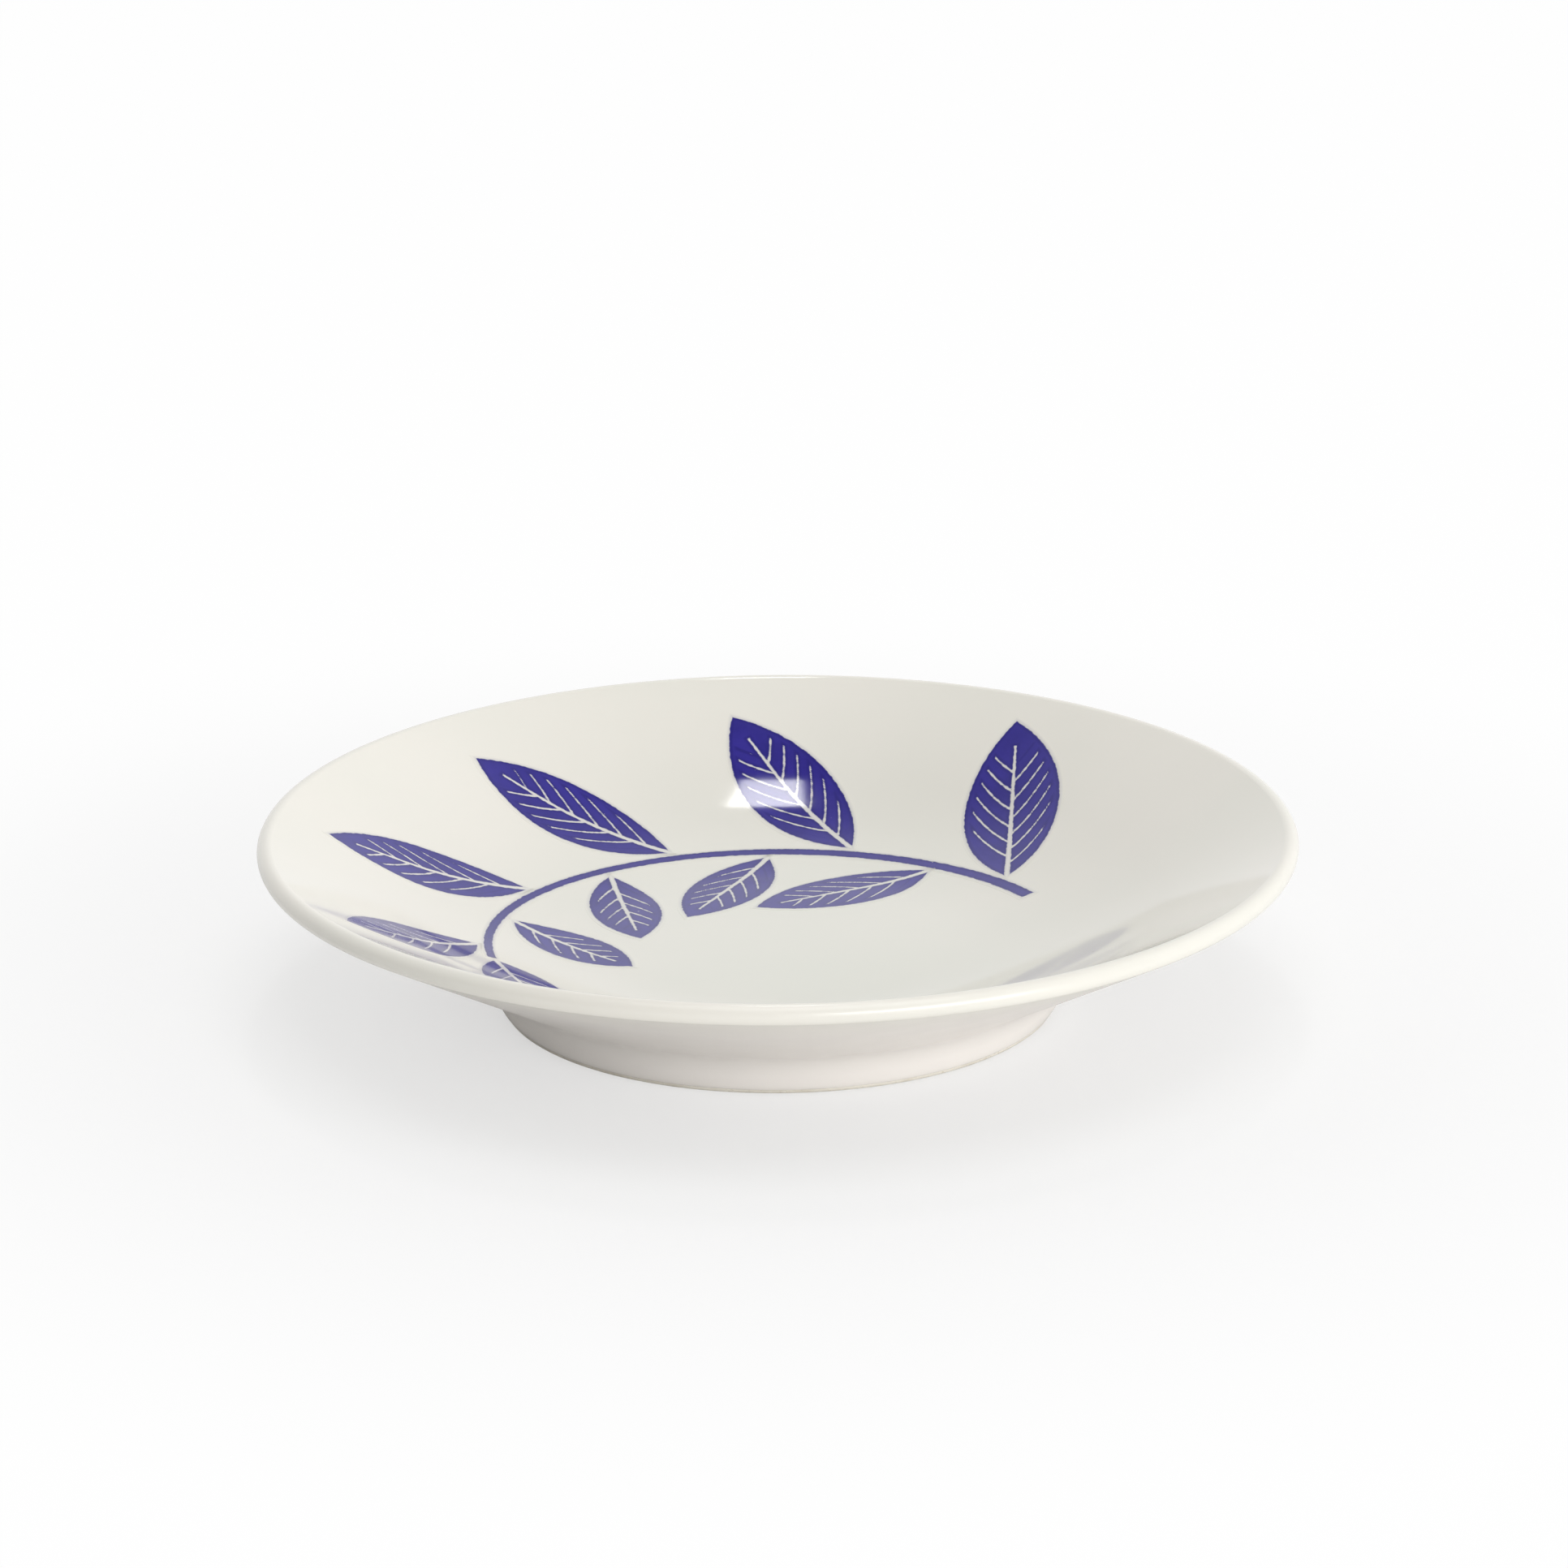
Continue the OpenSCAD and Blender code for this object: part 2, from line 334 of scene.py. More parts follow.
def inner_coat_profile(size):
    """The coat in the well: out along the glazed surface to the crown and back along the clay."""
    top = upper_line(size, 0.0, rings=40)
    back = upper_line(size, size.glaze_thickness, rings=12)[::-1]
    return joined(top, back)


def outer_coat_profile(size):
    """The coat on the wall and foot. It thins out to its end over the bare edge in a quarter of an oval."""
    thick = size.glaze_thickness
    cut = dish_section(size)
    end = foot_side(size, size.bare_height, thick)
    middle = foot_side(size, size.bare_height + size.glaze_run, thick)
    turn = QUARTER * eased(12)
    bead = middle + thick * np.outer(np.cos(turn), cut.foot_out) + np.outer(np.sin(turn), end - middle)
    face = wall_line(size, 0.0, size.pool_radius, bead[0, 1], rings=12)
    back = wall_line(size, thick, 0.0, size.bare_height, rings=6)[::-1]
    return joined(face, bead, back)


def base_coat_profile(size):
    """The coat in the recess: a disc whose edge curves down inside the ring and thins out over the bare edge,
    in half the outer coat's run."""
    thick = size.glaze_thickness
    ceiling = size.seat_height - thick
    inner = size.ring_inner_radius
    clay = inner + thick
    pool = size.recess_pool_radius
    turn = QUARTER * eased(12)
    low_run = 0.5 * size.glaze_run
    return joined(
        run((0.0, ceiling), (inner - pool, ceiling), count=16),
        arc((inner - pool, ceiling - pool), pool, QUARTER, 0.0, count=16),
        (clay, size.bare_height) + np.stack((-thick * np.cos(turn), low_run * (1.0 - np.sin(turn))), axis=1),
        run((clay, size.bare_height), (clay, size.seat_height), count=10),
        run((clay, size.seat_height), (0.0, size.seat_height), count=8))


def turned(profile, segments, closed):
    """Surface of revolution: point (i, j) is profile point i at j / segments of a turn about +Z.

    A profile that starts and ends on the axis closes there in one vertex at each end. A closed profile's
    last point joins its first. The profile runs with the solid on its left, so its faces point outwards.
    """
    ahead = np.roll(profile, -1, axis=0)
    area = 0.5 * np.sum(profile[:, 0] * ahead[:, 1] - ahead[:, 0] * profile[:, 1])
    if area < 0.0:
        profile = profile[::-1]
    turn = np.linspace(0.0, 4.0 * QUARTER, segments, endpoint=False)
    radius = profile[:, :1]
    height = np.broadcast_to(profile[:, 1:], (len(profile), segments))
    points = np.stack((radius * np.cos(turn), radius * np.sin(turn), height), axis=-1)
    index = np.arange(points[..., 0].size).reshape(len(profile), segments)
    pole = profile[:, 0] < SAME_POINT
    index[pole] = index[pole][:, :1]
    here = index if closed else index[:-1]
    there = np.roll(index, -1, axis=0) if closed else index[1:]
    corners = (here, np.roll(here, -1, axis=1), np.roll(there, -1, axis=1), there)
    quads = np.stack(corners, axis=-1).reshape(-1, 4)
    at_start = quads[:, 0] == quads[:, 1]
    at_end = quads[:, 2] == quads[:, 3]
    fans = np.concatenate((quads[at_start][:, (0, 2, 3)], quads[at_end][:, (0, 1, 2)]))
    quads = quads[~(at_start | at_end)]
    used, where = np.unique(np.concatenate((quads.ravel(), fans.ravel())), return_inverse=True)
    where = where.ravel()
    return points.reshape(-1, 3)[used], where[:quads.size].reshape(-1, 4), where[quads.size:].reshape(-1, 3)


def on_well(plan, size, lift):
    """Plan points set on the well, lifted off it: the height of the floor, the bend's circle or the wall's
    line, by the point's distance from the axis."""
    cut = dish_section(size)
    reach = np.hypot(plan[..., 0], plan[..., 1])
    radius = size.bend_radius - lift
    along = np.clip(reach - cut.bend[0], 0.0, radius * math.sin(cut.slope))
    past = np.maximum(reach - cut.bend[0] - along, 0.0)
    height = cut.bend[1] - np.sqrt(radius ** 2 - along ** 2) + past * math.tan(cut.slope)
    return np.concatenate((plan, height[..., None]), axis=-1)


def film(plan, size, lift, depth):
    """Closed film on the well over a grid of plan points: a top lifted off it, a bottom sunk in it and a
    narrow wall round the grid's border."""
    points = np.concatenate((on_well(plan, size, lift), on_well(plan, size, -depth)))
    rows, columns = plan.shape[:2]
    top = np.arange(rows * columns).reshape(rows, columns)
    under = top + rows * columns

    def sheet(grid):
        return np.stack((grid[:-1, :-1], grid[1:, :-1], grid[1:, 1:], grid[:-1, 1:]), axis=-1).reshape(-1, 4)

    border = np.concatenate((top[:, 0], top[-1, 1:], top[-2::-1, -1], top[0, -2:0:-1]))
    border_under = border + rows * columns
    wall = np.stack((np.roll(border, -1), border, border_under, np.roll(border_under, -1)), axis=-1)
    return points.reshape(-1, 3), np.concatenate((sheet(top), sheet(under)[:, ::-1], wall))


def stem_side(angle, sprig, rule):
    """Radius of the stem's inner edge at an angle: a circle shifted towards the thin end, met from the
    stem's centre."""
    shift = sprig.stem_taper
    turn = angle - sprig.stem_to
    inner = rule.stem_r - 0.5 * sprig.stem_width
    return shift * np.cos(turn) + np.sqrt(inner ** 2 - (shift * np.sin(turn)) ** 2)


# A leaf's number less this, over the count of leaves before the last, is its place along the stem
PLACE_BACK = 0.55
# Inward turn from the stem of an outer and an inner leaf's nearer edge, and of the last leaf's midrib
OUTER_LEAN = math.radians(3.0)
INNER_LEAN = math.radians(20.0)
TIP_LEAN = math.radians(8.0)


def sprig_rule(size, sprig):
    """Field, stem curve and leaf places of the sprig.

    The stem is an arc about a centre a little before the dish's. Leaf i starts at its station along that
    arc, in pairs that turn outwards and inwards, the last one at the tip. Lengths shrink evenly from first
    to last.
    """
    cut = dish_section(size)
    field = size.crown_radius - cut.lip_r - sprig.margin
    number = np.arange(1, LEAF_COUNT + 1)
    tip = number == LEAF_COUNT
    outer = number % 2 == 1
    station = np.where(tip, 1.0, (number - PLACE_BACK) / (LEAF_COUNT - 1))
    angle = sprig.stem_from + (sprig.stem_to - sprig.stem_from) * station
    length = (sprig.leaf_long + (sprig.leaf_short - sprig.leaf_long) * station) * field
    length = length * np.where(outer | tip, 1.0, sprig.leaf_inner)
    point = 2.0 * math.atan(sprig.leaf_slim)
    lean = np.where(outer, OUTER_LEAN - point, INNER_LEAN + point)
    lean = np.where(tip, TIP_LEAN, lean)
    side = (0.5 * sprig.stem_width + sprig.leaf_gap) / np.abs(np.sin(lean))
    offset = np.where(tip, sprig.leaf_gap, side)
    heading = angle + QUARTER + lean
    stem_c = np.array((0.0, -sprig.stem_drop * field))
    stem_r = sprig.stem_bend * field
    start = stem_c + stem_r * np.stack((np.cos(angle), np.sin(angle)), axis=1)
    start = start + offset[:, None] * np.stack((np.cos(heading), np.sin(heading)), axis=1)
    return SimpleNamespace(stem_c=stem_c, stem_r=stem_r, start=start, heading=heading, length=length)


def lens_radius(length, half_width):
    """Radius of a leaf's two arcs: the squares of its half-length and half-width over its width."""
    return (0.25 * length ** 2 + half_width ** 2) / (2.0 * half_width)


def lens_half(along, length, half_width):
    """Half-width of a leaf along its length: two arcs that meet in a point at both ends."""
    radius = lens_radius(length, half_width)
    inside = np.maximum(radius ** 2 - (along - 0.5 * length) ** 2, 0.0)
    return np.maximum(np.sqrt(inside) - radius + half_width, 0.0)


# How much side veins curve towards the tip, and the shares of the leaf between which they start
VEIN_CURVE = 0.5
VEINS_FROM = 0.10
VEINS_TO = 0.74


def leaf_ink(along, across, length, half_width, sprig):
    """Distance from the nearest edge of a leaf's ink, positive in the ink.

    The smallest of three distances: to the leaf's two arcs; to the midrib, a slot that narrows along the
    leaf; and to the nearest side vein, one of a row of slanting lines that alternate on the two sides and
    stop short of the edge.
    """
    radius = lens_radius(length, half_width)
    off = np.abs(across)
    leaf = radius - np.hypot(along - 0.5 * length, off + radius - half_width)
    rib_end = sprig.rib_reach * length
    narrow = np.clip(along / rib_end, 0.0, 1.0)
    rib_half = 0.5 * (sprig.rib_width + (sprig.rib_tip_width - sprig.rib_width) * narrow)
    rib = np.maximum(off - rib_half, along - rib_end)
    bend = 1.0 + VEIN_CURVE * off / half_width
    root = along - off * bend / math.tan(sprig.vein_angle)
    phase = root / sprig.vein_pitch + np.where(across > 0.0, 0.5, 0.0)
    gap = np.abs((phase + 0.5) % 1.0 - 0.5) * sprig.vein_pitch * math.sin(sprig.vein_angle)
    vein = gap - 0.5 * sprig.vein_width
    vein = np.maximum(vein, sprig.vein_stop - leaf)
    vein = np.maximum(vein, np.maximum(VEINS_FROM * length - root, root - VEINS_TO * length))
    return np.minimum(leaf, np.minimum(rib, vein))


# The film's length past a leaf's points and half its width there, times the bleed
PAST_POINT = 1.45
POINT_HALF = 0.3


def leaf_film(sprig, rule, i):
    """Grid over leaf i: steps along the leaf and a little past both points, and equal steps across the
    half-width there. Turned to the leaf's heading and moved to its start."""
    length = rule.length[i]
    half_width = 0.5 * sprig.leaf_slim * length
    past = PAST_POINT * sprig.bleed
    wide = half_width + sprig.bleed
    rows = int((length + 2.0 * past) / sprig.grain) + 2
    columns = 2 * int(wide / sprig.grain) + 3
    along = np.linspace(-past, length + past, rows)[:, None]
    half = np.maximum(lens_half(along + past, length + 2.0 * past, wide), POINT_HALF * sprig.bleed)
    across = half * np.linspace(-1.0, 1.0, columns)[None, :]
    along = np.broadcast_to(along, across.shape)
    ink = leaf_ink(along, across, length, half_width, sprig)
    cos, sin = math.cos(rule.heading[i]), math.sin(rule.heading[i])
    plan = np.stack((along * cos - across * sin, along * sin + across * cos), axis=-1) + rule.start[i]
    return plan, ink


def stem_film(sprig, rule):
    """Grid over the stem: angles along its arc and a little past both ends, and equal steps from the inner
    edge to the outer one. The ink's distance is the smallest of those to the two edges and the two ends."""
    past = sprig.bleed / rule.stem_r
    steps = int((sprig.stem_to - sprig.stem_from) * rule.stem_r / sprig.grain) + 2
    angle = np.linspace(sprig.stem_from - past, sprig.stem_to + past, steps)[:, None]
    inner = stem_side(angle, sprig, rule)
    outer = rule.stem_r + 0.5 * sprig.stem_width
    columns = int((sprig.stem_width + 2.0 * sprig.bleed) / sprig.grain) + 3
    share = np.linspace(0.0, 1.0, columns)[None, :]
    radius = (outer + sprig.bleed) + (inner - outer - 2.0 * sprig.bleed) * share
    ends = np.minimum(angle - sprig.stem_from, sprig.stem_to - angle) * rule.stem_r
    ink = np.minimum(np.minimum(outer - radius, radius - inner), ends)
    plan = rule.stem_c + np.stack((radius * np.cos(angle), radius * np.sin(angle)), axis=-1)
    return plan, ink


# Pieces

def as_piece(name, points, quads, fans, nodes, slot, material):
    """Puts a surface into a mesh object that rides the dish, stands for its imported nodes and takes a
    finish."""
    mesh = bpy.data.meshes.new(name)
    corners = np.concatenate((quads.ravel(), fans.ravel())).astype(np.int32)
    sides = np.concatenate((np.full(len(quads), 4), np.full(len(fans), 3)))
    starts = np.concatenate(([0], np.cumsum(sides)[:-1])).astype(np.int32)
    mesh.vertices.add(len(points))
    mesh.vertices.foreach_set("co", points.astype(np.float32).ravel())
    mesh.loops.add(len(corners))
    mesh.loops.foreach_set("vertex_index", corners)
    mesh.polygons.add(len(sides))
    mesh.polygons.foreach_set("loop_start", starts)
    mesh.update(calc_edges=True)
    if mesh.validate():
        raise RuntimeError(f"{name}: the mesh had faults")
    mesh.shade_smooth()
    mesh.set_sharp_from_angle(angle=SHARP_ANGLE)
    mesh.materials.append(material)
    piece = bpy.data.objects.new(name, mesh)
    bpy.context.collection.objects.link(piece)
    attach(piece, "root")
    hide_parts(*nodes)
    return piece


NO_FANS = np.zeros((0, 3), dtype=int)
# How far the ink may reach past its packed film or fall short of it
FIT = 0.35 * MM


def ink_piece(name, plan, ink, size, sprig, material):
    """One printed film with the distance to its ink's edge, in millimetres, as a point attribute."""
    points, quads = film(plan, size, sprig.proud, sprig.depth)
    printed = plan[ink > 0.0]
    box = np.array((low(name)[:2], high(name)[:2]))
    if np.abs(np.array((printed.min(axis=0), printed.max(axis=0))) - box).max() > FIT:
        raise RuntimeError(f"{name}: the ink has left its packed film")
    piece = as_piece(name + "_film", points, quads, NO_FANS, (name,), "cobalt_print", material)
    edge = piece.data.attributes.new("ink_edge", "FLOAT", "POINT")
    edge.data.foreach_set("value", np.tile(ink.ravel() / MM, 2).astype(np.float32))
    return piece


# Finishes

def add(tree, kind, inputs=None, **settings):
    """Adds a node to a tree, makes its settings, and links or sets its inputs."""
    made = tree.nodes.new(kind)
    for key, value in settings.items():
        setattr(made, key, value)
    for key, value in (inputs or {}).items():
        if isinstance(value, bpy.types.NodeSocket):
            tree.links.new(value, made.inputs[key])
        else:
            made.inputs[key].default_value = value
    return made


def math_node(tree, operation, first, second, clamp=False):
    """A Math node's result."""
    return add(tree, "ShaderNodeMath", {0: first, 1: second}, operation=operation, use_clamp=clamp).outputs[0]


def vector_node(tree, operation, *inputs):
    """A Vector Math node's result: a value for a length or a dot product, or else a vector."""
    made = add(tree, "ShaderNodeVectorMath", dict(enumerate(inputs)), operation=operation)
    return made.outputs["Value" if operation in {"LENGTH", "DOT_PRODUCT"} else "Vector"]


def ramp(tree, value, start, end, low_out=0.0, high_out=1.0):
    """A smooth step from low_out to high_out as the value goes from start to end."""
    inputs = {"Value": value, "From Min": start, "From Max": end, "To Min": low_out, "To Max": high_out}
    return add(tree, "ShaderNodeMapRange", inputs, interpolation_type="SMOOTHSTEP").outputs["Result"]


def noise(tree, place, scale, detail=2.0, roughness=0.5):
    """A noise value over Object coordinates; scale is in waves per metre."""
    inputs = {"Vector": place, "Scale": scale, "Detail": detail, "Roughness": roughness}
    return add(tree, "ShaderNodeTexNoise", inputs).outputs["Fac"]


def dots(tree, place, scale, chance, reach):
    """Round dots in a few cells of a Voronoi pattern: a smooth step of each cell's lot between two chances,
    times one of the distance from its middle."""
    cell = add(tree, "ShaderNodeTexVoronoi", {"Vector": place, "Scale": scale})
    lot = add(tree, "ShaderNodeSeparateColor", {"Color": cell.outputs["Color"]}).outputs[0]
    near = ramp(tree, cell.outputs["Distance"], *reach)
    return math_node(tree, "MULTIPLY", ramp(tree, lot, *chance), near)


def mix_colour(tree, share, first, second):
    """A colour mix; the sockets of the Mix node's colour side are 6 and 7, its result 2."""
    return add(tree, "ShaderNodeMix", {0: share, 6: first, 7: second}, data_type="RGBA").outputs[2]


def rgba(colour):
    """A colour with full alpha."""
    return (colour[0], colour[1], colour[2], 1.0)


def new_group(name, inputs, outputs):
    """An empty shader group with named sockets, and its two end nodes."""
    tree = bpy.data.node_groups.new(name, "ShaderNodeTree")
    for label, kind, default in inputs:
        tree.interface.new_socket(label, in_out="INPUT", socket_type=kind).default_value = default
    for label, kind in outputs:
        tree.interface.new_socket(label, in_out="OUTPUT", socket_type=kind)
    return tree, tree.nodes.new("NodeGroupInput"), tree.nodes.new("NodeGroupOutput")


FLAT = (1.0, 1.0, 0.0)
WHITE = (1.0, 1.0, 1.0, 1.0)
SPECK = (0.35, 0.30, 0.22, 1.0)
# Distances from the axis between which the glaze pools
POOLED_FROM = 42.0 * MM
POOLED_TO = 4.0 * MM


def glaze_skin():
    """Shared group: the glaze's colour, gloss and soft unevenness.

    The colour goes from warm to cool in slow clouds and where the glaze pools near the axis, with a few
    faint specks. The height is a slow swell with a share of fine grain.
    """
    if "glaze_skin" in bpy.data.node_groups:
        return bpy.data.node_groups["glaze_skin"]
    tree, given, result = new_group(
        "glaze_skin",
        (("Warm", "NodeSocketColor", WHITE), ("Cool", "NodeSocketColor", WHITE),
         ("Gloss", "NodeSocketFloat", 0.0), ("Grain", "NodeSocketFloat", 0.0)),
        (("Colour", "NodeSocketColor"), ("Roughness", "NodeSocketFloat"), ("Height", "NodeSocketFloat")))
    place = add(tree, "ShaderNodeTexCoord").outputs["Object"]
    reach = vector_node(tree, "LENGTH", vector_node(tree, "MULTIPLY", place, FLAT))
    pooled = ramp(tree, reach, POOLED_FROM, POOLED_TO, high_out=0.75)
    cloud = ramp(tree, noise(tree, place, scale=38.0, detail=3.0), 0.3, 0.7, low_out=-0.22, high_out=0.28)
    tint = math_node(tree, "ADD", pooled, cloud, clamp=True)
    colour = mix_colour(tree, tint, given.outputs["Warm"], given.outputs["Cool"])
    speck = dots(tree, place, scale=95.0, chance=(0.72, 0.80), reach=(0.020, 0.004))
    speck = math_node(tree, "MULTIPLY", speck, 0.22)
    colour = mix_colour(tree, speck, colour, SPECK)
    fine = noise(tree, place, scale=3600.0, detail=1.0)
    swell = noise(tree, place, scale=105.0, detail=1.5)
    height = math_node(tree, "ADD", swell, math_node(tree, "MULTIPLY", fine, given.outputs["Grain"]))
    dull = math_node(tree, "MULTIPLY", noise(tree, place, scale=210.0, detail=3.0), 0.05)
    rough = math_node(tree, "ADD", given.outputs["Gloss"], dull)
    tree.links.new(colour, result.inputs["Colour"])
    tree.links.new(rough, result.inputs["Roughness"])
    tree.links.new(height, result.inputs["Height"])
    return tree


def new_material(name):
    """An empty material with its output and a Principled shader."""
    material = bpy.data.materials.new(name)
    material.use_nodes = True
    tree = material.node_tree
    tree.nodes.clear()
    output = tree.nodes.new("ShaderNodeOutputMaterial")
    shader = tree.nodes.new("ShaderNodeBsdfPrincipled")
    tree.links.new(shader.outputs[0], output.inputs["Surface"])
    return material, tree, shader


GLAZE_IOR = 1.5
# Roughness of the glaze in the well, and on the outside, where its gloss is softer
WELL_GLOSS = 0.05
OUTSIDE_GLOSS = 0.2
# Height of the glaze's slow swell, and the share of it that the print's fine grain adds
GLAZE_SWELL = 0.006 * MM
PRINT_GRAIN = 0.06


def glaze_nodes(tree, shader, colours, gloss, grain):
    """Places the glaze skin in a material, sets its gloss, grain and bump, and gives back its colour."""
    tints = {"Warm": rgba(colours.glaze_warm), "Cool": rgba(colours.glaze_cool)}
    skin = add(tree, "ShaderNodeGroup", {**tints, "Gloss": gloss, "Grain": grain}, node_tree=glaze_skin())
    uneven = {"Strength": 1.0, "Distance": GLAZE_SWELL, "Height": skin.outputs["Height"]}
    bump = add(tree, "ShaderNodeBump", uneven)
    tree.links.new(skin.outputs["Roughness"], shader.inputs["Roughness"])
    tree.links.new(bump.outputs[0], shader.inputs["Normal"])
    shader.inputs["IOR"].default_value = GLAZE_IOR
    return skin.outputs["Colour"]


def glaze_finish(colours):
    """Clear, faintly warm porcelain glaze."""
    material, tree, shader = new_material("porcelain_glaze")
    tree.links.new(glaze_nodes(tree, shader, colours, WELL_GLOSS, 0.0), shader.inputs["Base Color"])
    return material


# Heights between which the outside's painted lighter copy of the glaze colour gives way to the well's
OUTSIDE_UP_TO = 10.0 * MM
LIP_FROM = 16.0 * MM


def outside_finish(colours):
    """The same glaze with a softer gloss and, up to the lip, a lighter copy of its colour: painted light on
    the wall, foot and recess.
    """
    material, tree, shader = new_material("outside_glaze")
    white = glaze_nodes(tree, shader, colours, OUTSIDE_GLOSS, 0.0)
    place = add(tree, "ShaderNodeTexCoord").outputs["Object"]
    height = add(tree, "ShaderNodeSeparateXYZ", {0: place}).outputs["Z"]
    share = ramp(tree, height, OUTSIDE_UP_TO, LIP_FROM)
    # Painted light: below the lip the glaze takes its lighter copy, which stands in for light on the wall,
    # foot and recess
    colour = mix_colour(tree, share, rgba(colours.glaze_outside_painted_lighter), white)
    tree.links.new(colour, shader.inputs["Base Color"])
    return material


def print_finish(colours):
    """Cobalt print under the same glaze.

    The cover is a smooth step over the distance to the ink's edge, roughened by fine noise, with a faint
    bleed outside it. The colour drifts from deep to thin in clouds and is deep along the edges, a few
    pinholes let white through, and the film adds a fine grain to the swell.
    """
    material, tree, shader = new_material("sprig_print")
    white = glaze_nodes(tree, shader, colours, WELL_GLOSS, PRINT_GRAIN)
    place = add(tree, "ShaderNodeTexCoord").outputs["Object"]
    edge = add(tree, "ShaderNodeAttribute", attribute_name="ink_edge").outputs["Fac"]
    rough = ramp(tree, noise(tree, place, scale=1700.0), 0.2, 0.8, low_out=-0.05, high_out=0.05)
    cover = ramp(tree, math_node(tree, "ADD", edge, rough), -0.07, 0.08)
    bleed = ramp(tree, edge, -0.42, 0.05, high_out=0.20)
    hole = dots(tree, place, scale=520.0, chance=(0.80, 0.86), reach=(0.060, 0.030))
    solid = math_node(tree, "SUBTRACT", 1.0, math_node(tree, "MULTIPLY", hole, 0.45))
    cover = math_node(tree, "MAXIMUM", math_node(tree, "MULTIPLY", cover, solid), bleed)
    cloud = noise(tree, place, scale=240.0, detail=4.0, roughness=0.6)
    inward = ramp(tree, edge, 0.10, 0.50, low_out=0.15)
    thin = math_node(tree, "MULTIPLY", ramp(tree, cloud, 0.25, 0.75, low_out=0.35), inward)
    ink = mix_colour(tree, thin, rgba(colours.cobalt_deep), rgba(colours.cobalt_thin))
    tree.links.new(mix_colour(tree, cover, white, ink), shader.inputs["Base Color"])
    return material


# Heights between which the bare clay turns darker in noisy patches towards the table, and the depth of its
# grain
STAND_FROM = 0.3 * MM
STAND_TO = 0.02 * MM
CLAY_GRAIN = 0.04 * MM


def bisque_finish(colours):
    """Bare fired clay: mottled, with fine darker grains, darker in noisy patches towards the edge it stands
    on, and a dry grainy surface.
    """
    material, tree, shader = new_material("bisque_clay")
    place = add(tree, "ShaderNodeTexCoord").outputs["Object"]
    height = add(tree, "ShaderNodeSeparateXYZ", {0: place}).outputs["Z"]
    mottle = ramp(tree, noise(tree, place, scale=300.0, detail=4.0), 0.35, 0.75, high_out=0.45)
    grain = ramp(tree, noise(tree, place, scale=2600.0), 0.58, 0.74, high_out=0.6)
    stands = ramp(tree, height, STAND_FROM, STAND_TO)
    # Darker in noisy patches over the lowest few tenths of a millimetre, where the clay meets the table
    darker_near_table = ramp(tree, noise(tree, place, scale=700.0, detail=5.0, roughness=0.65), 0.45, 0.65, high_out=0.6)
    darker_near_table = math_node(tree, "MULTIPLY", stands, darker_near_table)
    dark = math_node(tree, "ADD", math_node(tree, "MAXIMUM", mottle, grain), darker_near_table, clamp=True)
    colour = mix_colour(tree, dark, rgba(colours.bisque), rgba(colours.bisque_grain))
    tree.links.new(colour, shader.inputs["Base Color"])
    rough = ramp(tree, noise(tree, place, scale=900.0), 0.3, 0.7, low_out=0.62, high_out=0.86)
    tree.links.new(rough, shader.inputs["Roughness"])
    uneven = {"Strength": 0.8, "Distance": CLAY_GRAIN, "Height": noise(tree, place, scale=2400.0, detail=3.0)}
    bump = add(tree, "ShaderNodeBump", uneven)
    tree.links.new(bump.outputs[0], shader.inputs["Normal"])
    return material


# Operators

# Steps round the body's clay, which its coats hide
CLAY_SEGMENTS = 160


class DISH_OT_turn_clay(bpy.types.Operator):
    """Turns the clay of the body and of the foot ring"""

    bl_idname = "dish.turn_clay"
    bl_label = "Turn the Clay"

    def execute(self, context):
        size = context.scene.dish_sizes
        finish = bisque_finish(context.scene.dish_colours)
        body = turned(clay_profile(size), CLAY_SEGMENTS, closed=False)
        as_piece("turned_body", *body, ("porcelain_body",), "porcelain", finish)
        ring = turned(foot_profile(size), size.segments, closed=True)
        as_piece("turned_foot", *ring, ("foot_ring",), "porcelain", finish)
        return {"FINISHED"}


class DISH_OT_pour_glaze(bpy.types.Operator):
    """Pours the glaze coats of the well, the wall and the recess"""

    bl_idname = "dish.pour_glaze"
    bl_label = "Pour the Glaze"

    def execute(self, context):
        size = context.scene.dish_sizes
        inside = glaze_finish(context.scene.dish_colours)
        outside = outside_finish(context.scene.dish_colours)
        well = turned(inner_coat_profile(size), size.segments, closed=False)
        as_piece("well_coat", *well, ("inner_glaze",), "glaze", inside)
        wall = turned(outer_coat_profile(size), size.segments, closed=True)
        as_piece("wall_coat", *wall, ("outer_glaze",), "glaze", outside)
        base = turned(base_coat_profile(size), size.segments, closed=False)
        as_piece("recess_coat", *base, ("base_glaze",), "glaze", outside)
        return {"FINISHED"}


class DISH_OT_print_sprig(bpy.types.Operator):
    """Prints the sprig's stem and leaves on the well"""

    bl_idname = "dish.print_sprig"
    bl_label = "Print the Sprig"

    def execute(self, context):
        size = context.scene.dish_sizes
        sprig = context.scene.dish_sprig
        finish = print_finish(context.scene.dish_colours)
        rule = sprig_rule(size, sprig)
        ink_piece("print_stem", *stem_film(sprig, rule), size, sprig, finish)
        for i in range(LEAF_COUNT):
            ink_piece(f"{LEAF_PREFIX}{i + 1}", *leaf_film(sprig, rule, i), size, sprig, finish)
        return {"FINISHED"}


FLOOR_HALF = 2.0
FLOOR_ROUGHNESS = 0.85
FLOOR_SPECULAR = 0.1
# Distances from the axis between which the floor turns white, as the camera and as the glaze sees it
SHADOW_FROM = 0.03
SHADOW_TO = 0.13
MIRROR_FROM = 0.02
MIRROR_TO = 0.16
# The floor is open this far from the axis, under the foot, so that light reaches the underside
OPEN_TO = 26.5 * MM


